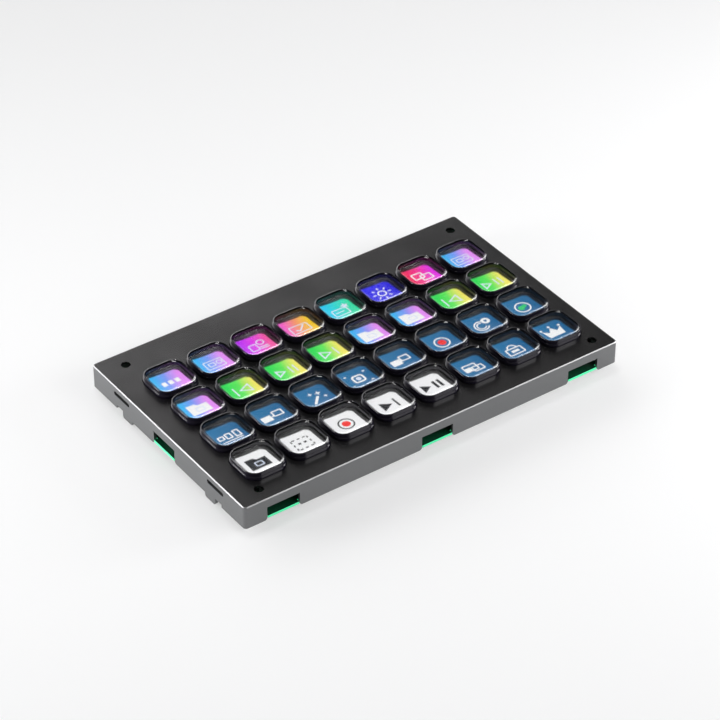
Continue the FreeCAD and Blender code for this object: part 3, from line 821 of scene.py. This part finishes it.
def dashed_square():
    dashes = []
    for step in (-2.4, 0.0, 2.4):
        dashes += [rectangle(step, 3.1, 1.2, medium), rectangle(step, -3.1, 1.2, medium)]
        dashes += [rectangle(-3.6, step, medium, 1.2), rectangle(3.6, step, medium, 1.2)]
    dashes += [rectangle(-1.2, 0.2, 1.2, 1.0), rectangle(1.3, 0.2, 1.2, 1.0)]
    return [("dark", dash) for dash in dashes]


def windows():
    return [
        ("white", outlined_box(-0.9, 0.5, 6.4, 4.6, medium)),
        ("white", rectangle(-2.3, -0.2, 2.8, 2.2)),
        ("white", outlined_box(1.8, -1.0, 5.2, 3.6, medium)),
    ]


def toolbox():
    return [
        ("white", outlined_box(0, -1.0, 7.6, 4.6, medium)),
        ("white", arc(0, 1.1, 2.0, medium, 0, 180)),
        ("white", rectangle(0, -1.0, 3.4, 1.4)),
    ]


def crown():
    body = polygon((-3.6, -2.8), (3.6, -2.8), (4.4, 2.2), (1.9, 0.2), (0.0, 3.0), (-1.9, 0.2), (-4.4, 2.2))
    beads = [("white", disc(x, y, 0.6)) for x, y in ((-4.4, 2.9), (0, 3.8), (4.4, 2.9))]
    return [("white", body)] + beads


tile_plan = [
    [
        ("sky", menu_lines()), ("sky", projector()), ("orchid", mixer()), ("sunset", ticket()),
        ("lagoon", swatch()), ("royal", brightness()), ("berry", copy_boxes()), ("sky", projector()),
    ],
    [
        ("sky", folder("white", "pale")), ("meadow", previous_track()), ("meadow", play_pause()),
        ("meadow", next_track()), ("sky", folder("white", "pale")), ("sky", folder("white", "pale")),
        ("meadow", previous_track()), ("meadow", play_pause()),
    ],
    [
        ("steel", screens()), ("steel", swap_boxes(0.0)), ("steel", wand()), ("steel", focus_square()),
        ("steel", swap_boxes(0.5)), ("steel", record("white")), ("steel", dial_badge()),
        ("steel", ring_and_leaf()),
    ],
    [
        ("paper", folder("dark", "pale")), ("paper", dashed_square()), ("paper", record("dark")),
        ("paper", next_track("dark")), ("paper", play_pause("dark")), ("steel", windows()),
        ("steel", toolbox()), ("steel", crown()),
    ],
]
print("pictograms:", sum(len(row) for row in tile_plan))

# %% Tiles
tile_size, tile_corner = 14.4, 2.0
layer_share = 0.2
sign_shift = np.array([0.6, 0.5])
block_foot, block_height, ink_lift = 0.01, 1.0, 0.02
glass_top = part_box("display_glass")[1].z


def make_tile(name, x, y, colour, drawings):
    """A block with a glowing top and, just above it, the pictogram's faces."""
    materials = [tile_glow[colour], block_black]
    square = rounded_ring(tile_size / 2, tile_size / 2, tile_corner)
    around = len(square)
    levels = (block_foot, block_height)
    points = [np.column_stack([square, np.full(around, level)]) for level in levels]
    faces = [tuple(range(around, 2 * around)), tuple(range(around))[::-1]] + grid_faces(2, around)
    slots = [0] + [1] * (1 + around)
    start = 2 * around
    for layer, (color, (corners, sides)) in enumerate(drawings):
        material = inks.get(color) or tile_glow[color]
        if material not in materials:
            materials.append(material)
        level = block_height + ink_lift * (1 + layer_share * layer)
        points.append(np.column_stack([corners + sign_shift, np.full(len(corners), level)]))
        faces += [tuple(start + corner for corner in side) for side in sides]
        slots += [materials.index(material)] * len(sides)
        start += len(corners)
    flat = np.vstack(points)
    placed = flat * MM + (x, y, glass_top)
    tile = make_piece(name, placed, faces, "root", materials)
    tile.data.polygons.foreach_set("material_index", np.array(slots, np.int32))
    corner_points = np.empty(len(tile.data.loops), np.int32)
    tile.data.loops.foreach_get("vertex_index", corner_points)
    uv = flat[corner_points, :2] / tile_size + 0.5
    tile.data.uv_layers.new(name="tile").data.foreach_set("uv", uv.ravel())
    return tile


for name, (x, y) in key_centres.items():
    row, column = int(name[5]), int(name[8])
    colour, drawings = tile_plan[row - 1][column - 1]
    make_tile("tile_" + name[4:], x, y, colour, drawings)
print("tiles:", len(key_centres))

# %% [markdown]
# ## Small parts on the board
#
# The board is open to view from below. Its parts get what soldering leaves:
# leads, tinned ends, gold pads, printed outlines and the faint lines of the
# copper under the mask. The photograph doesn't show this side, so their places
# are made up. The lines are strokes of the drawing kit, bent at 45 degrees and
# about as wide as half a pixel from a step away, so they only show close by.
# All sizes here are in millimetres.

# %% Box and drawing pieces
def box_piece(name, boxes, material):
    """Many boxes in one mesh, each given by its middle and its three sizes."""
    boxes = np.array(boxes, float)
    signs = np.array([(x, y, z) for z in (-1, 1) for y in (-1, 1) for x in (-1, 1)]) / 2
    points = boxes[:, None, :3] + signs * boxes[:, None, 3:]
    level = [(0, 2, 3, 1), (4, 5, 7, 6)]
    along_x = [(0, 1, 5, 4), (2, 6, 7, 3)]
    along_y = [(0, 4, 6, 2), (1, 3, 7, 5)]
    sides = np.array(level + along_x + along_y)
    faces = (np.arange(len(boxes))[:, None, None] * 8 + sides).reshape(-1, 4)
    return make_piece(name, points.reshape(-1, 3) * MM, faces.tolist(), "root", [material])


def drawn_piece(name, drawings, level, material, down=True):
    """Flat drawings in one mesh at one height in millimetres."""
    points, faces, start = [], [], 0
    for corners, sides in drawings:
        points.append(np.column_stack([corners, np.full(len(corners), level)]))
        turned = [side[::-1] if down else side for side in sides]
        faces += [tuple(start + corner for corner in side) for side in turned]
        start += len(corners)
    return make_piece(name, np.vstack(points) * MM, faces, "root", [material])


def middle_and_size(name):
    """The middle and the size of a node's box, in millimetres."""
    low, high = (np.array(corner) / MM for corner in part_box(name))
    return (low + high) / 2, high - low


# %% Leads, tinned ends and contacts
contact_gold = blasted_metal("contact_gold", (0.86, 0.60, 0.22), 0.26, 0.3 * MM, 0.004 * MM)
tin = blasted_metal("tin", (0.66, 0.66, 0.68), 0.3, 0.25 * MM, 0.01 * MM)
board_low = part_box("main_board")[0].z / MM
lead_length, lead_width, lead_thickness = 1.0, 0.34, 0.16


def side_leads(name, pitch, count, four_sides=True):
    """A row of flat leads along two or four sides of a chip."""
    middle, size = middle_and_size(name)
    along = (np.arange(count) - (count - 1) / 2) * pitch
    level = board_low - lead_thickness / 2
    lying, standing = (lead_length, lead_width), (lead_width, lead_length)
    leads = []
    for side in (-1, 1):
        x = middle[0] + side * (size[0] + lead_length) / 2
        leads += [(x, middle[1] + step, level, *lying, lead_thickness) for step in along]
        if four_sides:
            y = middle[1] + side * (size[1] + lead_length) / 2
            leads += [(middle[0] + step, y, level, *standing, lead_thickness) for step in along]
    return leads


fine_pitch, wide_pitch = 0.8, 1.27
leads = side_leads("main_chip", fine_pitch, 16) + side_leads("memory_chip", wide_pitch, 4, False)
box_piece("chip_leads", leads, tin)

row_middle, row_size = middle_and_size("capacitors")
body_width, body_length, body_height, body_count = 1.25, 2.0, 0.9, 6
row_step = (row_size[1] - body_length) / (body_count - 1)
cap_end, cap_lift = 0.4, 0.03
end_size = (body_width + cap_lift, cap_end + cap_lift, body_height + cap_lift)
end_level = board_low - body_height / 2
ends = []
for side in (-1, 1):
    x = row_middle[0] + side * (row_size[0] - body_width) / 2
    for step in range(body_count):
        y = row_middle[1] + (step - (body_count - 1) / 2) * row_step
        reach = (body_length - cap_end) / 2
        ends += [(x, y + end * reach, end_level, *end_size) for end in (-1, 1)]
box_piece("tinned_ends", ends, tin)

resistor_size, resistor_end_size = (0.9, 0.8, 0.4), (0.34, 0.84, 0.42)
resistor_reach = (resistor_size[0] + resistor_end_size[0]) / 2
resistor_x, resistor_rows = np.arange(-12.0, 6.0, 2.6), (24.0, -16.0, -21.0)
resistors, resistor_ends = [], []
for x, y in [(x, y) for y in resistor_rows for x in resistor_x]:
    resistors.append((x, y, board_low - resistor_size[2] / 2, *resistor_size))
    level = board_low - resistor_end_size[2] / 2
    resistor_ends += [(x + end * resistor_reach, y, level, *resistor_end_size) for end in (-1, 1)]
box_piece("small_resistors", resistors, epoxy)
box_piece("resistor_ends", resistor_ends, tin)

tongue_level = middle_and_size("usb_shell")[0][2]
contact_size, contact_y, contact_rise = (0.28, 3.2, 0.03), 48.2, 0.36
contact_reach, contact_count = 2.75, 12
contact_x = np.linspace(-contact_reach, contact_reach, contact_count)
contacts = [
    (x, contact_y, tongue_level + side * contact_rise, *contact_size)
    for side in (-1, 1) for x in contact_x
]
box_piece("socket_contacts", contacts, contact_gold)
print("leads:", len(leads), "tinned ends:", len(ends), "contacts:", len(contacts))

# %% Pads, printed lines and copper
printed_white = moulded("printed_white", (0.72, 0.74, 0.72), 0.5)
copper_line = moulded("covered_copper", (0.012, 0.17, 0.075), 0.3)
socket_dark = moulded("socket_dark", (0.01, 0.01, 0.01), 0.5)
print_lift, copper_lift, socket_lift = 0.02, 0.012, 0.01
screw_size = middle_and_size("board_screws")[1]
head_across, pad_radius, pad_width, socket_radius = 3.6, 2.7, 0.7, 1.0
screw_x = (screw_size[0] - head_across) / 2
screw_y = (screw_size[1] - head_across) / 2
screws = [(x, side * screw_y) for side in (-1, 1) for x in np.linspace(-screw_x, screw_x, 4)]
pads = [ring(x, y, pad_radius, pad_width) for x, y in screws]
drawn_piece("screw_pads", pads, board_low - print_lift, contact_gold)
head_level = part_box("board_screws")[0].z / MM
sockets = [polygon(*circle(x, y, socket_radius, 6)) for x, y in screws]
drawn_piece("screw_sockets", sockets, head_level - socket_lift, socket_dark)

outline_width, outline_corner, dot_radius, dot_gap = 0.18, 0.3, 0.3, 0.5
outlines = []
for name, room in (("main_chip", 2.6), ("memory_chip", 2.6), ("power_coil", 0.8), ("crystal", 0.9)):
    (x, y, _), (width, depth, _) = middle_and_size(name)
    width, depth = width + room, depth + room
    outlines.append(outlined_box(x, y, width, depth, outline_width, outline_corner))
    outlines.append(disc(x - width / 2 - dot_gap, y + depth / 2 + dot_gap, dot_radius))
drawn_piece("printed_lines", outlines, board_low - print_lift, printed_white)


def routed(points, width):
    """Straight strokes from point to point."""
    return [bar(*start, *end, width) for start, end in zip(points, points[1:])]


line_pitch, line_width, supply_width = 0.8, 0.26, 0.3
bend_step, supply_step = 0.5, 0.4
via_radius, via_width = 0.42, 0.3
copper, vias = [], []
for step in range(14):
    x, bend = 16.8 + step * line_pitch, step * bend_step
    copper += routed([(x, -2.0), (x, -9.0 - bend), (x - 12, -21.0 - bend), (x - 12, -41.0)], line_width)
    vias.append(ring(x - 12, -41.4, via_radius, via_width))
for step in range(12):
    y, bend = 1.6 + step * line_pitch, step * bend_step
    copper += routed([(30.0, y), (38.0 - bend, y), (50.0 - bend, y + 12), (62.0, y + 12)], line_width)
    copper += routed([(-64.0, y - 14), (-38.0, y - 14), (-26.0, y - 2), (1.0, y - 2)], line_width)
    vias += [ring(62.4, y + 12, via_radius, via_width), ring(-64.4, y - 14, via_radius, via_width)]
for step in range(5):
    x, level = -1.6 + step * line_pitch, 25.0 - step * supply_step
    copper += routed([(x, 43.0), (x, level + 8), (x + 8, level), (x + 16.6, level)], supply_width)
drawn_piece("copper_lines", copper, board_low - copper_lift, copper_line)
drawn_piece("via_rings", vias, board_low - print_lift, contact_gold)
print("copper strokes:", len(copper), "vias:", len(vias))

# %% [markdown]
# ## Floor and light
#
# The floor is a plain pale sheet. Seen directly, or in metal and glass, half of
# its brightness is its own, so it reads near white and still takes the soft
# shadow of the frame. That share is a little higher near the object, a painted
# light that lifts the shade the object casts on the floor beside it, and was
# set by comparing the two pictures.

# %% Floor
floor_color = (0.46, 0.46, 0.462)
# Near the object the floor glows more: painted light over the object's shade.
painted_fill_near, far_glow = (0.49, 0.49, 0.492), (0.41, 0.41, 0.412)
fade_start, fade_end = 0.12, 0.42


def floor_finish():
    """A pale matt sheet, brighter to the eye than to the object above it, and brighter still near the
    object, where its glow is painted light over the object's shade.
    """
    material = new_material("pale_floor", floor_color, 0.9)
    path = add(material, "ShaderNodeLightPath").outputs
    seen = path["Is Camera Ray"]
    for kind in ("Is Glossy Ray", "Is Transmission Ray"):
        seen = add(material, "ShaderNodeMath", {0: seen, 1: path[kind]}, operation="MAXIMUM").outputs[0]
    feed(material, "Emission Strength", seen)
    distance = add(material, "ShaderNodeVectorMath", {0: place(material)}, operation="LENGTH")
    fade = spread_to(material, distance.outputs["Value"], 0.0, 1.0, fade_start, fade_end)
    feed(material, "Emission Color", blend_colors(material, fade, painted_fill_near, far_glow))
    return material


floor_half = 3.0
floor_mesh = bpy.data.meshes.new("floor")
floor_corners = [(floor_half * x, floor_half * y, 0) for x, y in ((-1, -1), (1, -1), (1, 1), (-1, 1))]
floor_mesh.from_pydata(floor_corners, [], [(0, 1, 2, 3)])
floor_mesh.materials.append(floor_finish())
floor = bpy.data.objects.new("floor", floor_mesh)
bpy.context.scene.collection.objects.link(floor)
print("floor:", 2 * floor_half, "m across")

# %% [markdown]
# The keys carry a bright line at their left and right corners, and the frame
# one along its front edge. A mirror drawn at each of those places points to
# where a light must stand: a low one to each side for the keys, and a larger
# one at the front right for the edge. The last stands nearly overhead.

# %% Lights
def soft_light(name, azimuth, elevation, distance, width, height, power):
    """A soft rectangle, aimed at the middle of the plate.

    Azimuth turns from +Y towards +X, and elevation rises from the floor.
    """
    turn, rise = math.radians(azimuth), math.radians(elevation)
    level = math.cos(rise)
    toward = np.array([math.sin(turn) * level, math.cos(turn) * level, math.sin(rise)])
    data = bpy.data.lights.new(name, "AREA")
    data.shape = "RECTANGLE"
    data.size, data.size_y = width, height
    data.energy = power
    light = bpy.data.objects.new(name, data)
    light.location = aim + toward * distance
    light.rotation_euler = (math.pi / 2 - rise, 0, math.pi - turn)
    light.visible_camera = False
    bpy.context.scene.collection.objects.link(light)
    return light


lamps = [
    soft_light("left_light", azimuth=-63, elevation=11, distance=0.525, width=0.21, height=0.16, power=2.0),
    soft_light("right_light", azimuth=114, elevation=12, distance=0.457, width=0.18, height=0.14, power=1.5),
    soft_light("front_light", azimuth=146, elevation=36, distance=1.1, width=0.6, height=0.5, power=3.6),
    soft_light("top_light", azimuth=13, elevation=75, distance=1.3, width=0.3, height=0.3, power=3.2),
]
print("lamps:", [lamp.name for lamp in lamps])

# %% [markdown]
# The black plate and the panes are mirrors, so what they show is the room. The
# room here is dark above, pale at the horizon and has one broad glow low behind
# the object, drawn out from side to side. The glow makes the plate greyer at
# the back left than at the front right, though less so than in the photograph.
# The camera itself sees plain white.

# %% World
glow_left, glow_right, glow_height = -25.0, 20.0, 14.0
glow_edge, glow_fade, glow_strength = 25.0, 18.0, 3.0
core_edge, core_fade, core_strength = 16.0, 8.0, 2.8
horizon_top, horizon_end, horizon_level, room_level = 6.0, 20.0, 0.9, 0.05
seen_level = 0.95


def studio_world():
    """A dim room with a pale band at the horizon and one broad soft glow.

    The glow lies round a level line from its left to its right azimuth. Its
    light falls by the angle to the nearest point of that line: the root of the
    squares of the angle beside the line, shortened by the cosine of the
    elevation, and the angle above it. All angles are in degrees.
    """
    world = bpy.data.worlds.new("studio")
    world.use_nodes = True
    nodes, links = world.node_tree.nodes, world.node_tree.links

    def node(kind, inputs=None, **settings):
        made = nodes.new(kind)
        for key, value in settings.items():
            setattr(made, key, value)
        for key, value in (inputs or {}).items():
            if isinstance(value, bpy.types.NodeSocket):
                links.new(value, made.inputs[key])
            else:
                made.inputs[key].default_value = value
        return made.outputs

    def math_node(operation, first, second=0.0):
        return node("ShaderNodeMath", {0: first, 1: second}, operation=operation)[0]

    def falls(value, start, end, high, low=0.0):
        """From high at start down to low at end, with eased ends."""
        return node("ShaderNodeMapRange", {
            "Value": value, "From Min": start, "From Max": end, "To Min": high, "To Max": low,
        }, interpolation_type="SMOOTHSTEP")["Result"]

    looked = node("ShaderNodeTexCoord")["Generated"]
    parts = node("ShaderNodeSeparateXYZ", {"Vector": looked})
    azimuth = math_node("MULTIPLY", math_node("ARCTAN2", parts["X"], parts["Y"]), 180 / math.pi)
    elevation = math_node("MULTIPLY", math_node("ARCSINE", parts["Z"]), 180 / math.pi)
    nearest = node("ShaderNodeClamp", {"Value": azimuth, "Min": glow_left, "Max": glow_right})[0]
    beyond = math_node("SUBTRACT", azimuth, nearest)
    shortened = math_node("COSINE", math_node("MULTIPLY", elevation, math.pi / 180))
    beside = math_node("MULTIPLY", beyond, shortened)
    above = math_node("SUBTRACT", elevation, glow_height)
    squares = math_node("ADD", math_node("POWER", beside, 2.0), math_node("POWER", above, 2.0))
    angle = math_node("SQRT", squares)
    wide = falls(angle, glow_edge - glow_fade, glow_edge, glow_strength)
    core = falls(angle, core_edge - core_fade, core_edge, core_strength)
    low, high = math.sin(math.radians(horizon_top)), math.sin(math.radians(horizon_end))
    horizon = falls(parts["Z"], low, high, horizon_level, room_level)
    lit = math_node("ADD", math_node("ADD", wide, core), horizon)
    seen = node("ShaderNodeLightPath")["Is Camera Ray"]
    strength = node("ShaderNodeMix", {"Factor": seen, "A": lit, "B": seen_level})["Result"]
    background = nodes["Background"]
    background.inputs["Color"].default_value = (1.0, 1.0, 1.0, 1.0)
    links.new(strength, background.inputs["Strength"])
    return world


bpy.context.scene.world = studio_world()
print("world:", bpy.context.scene.world.name)
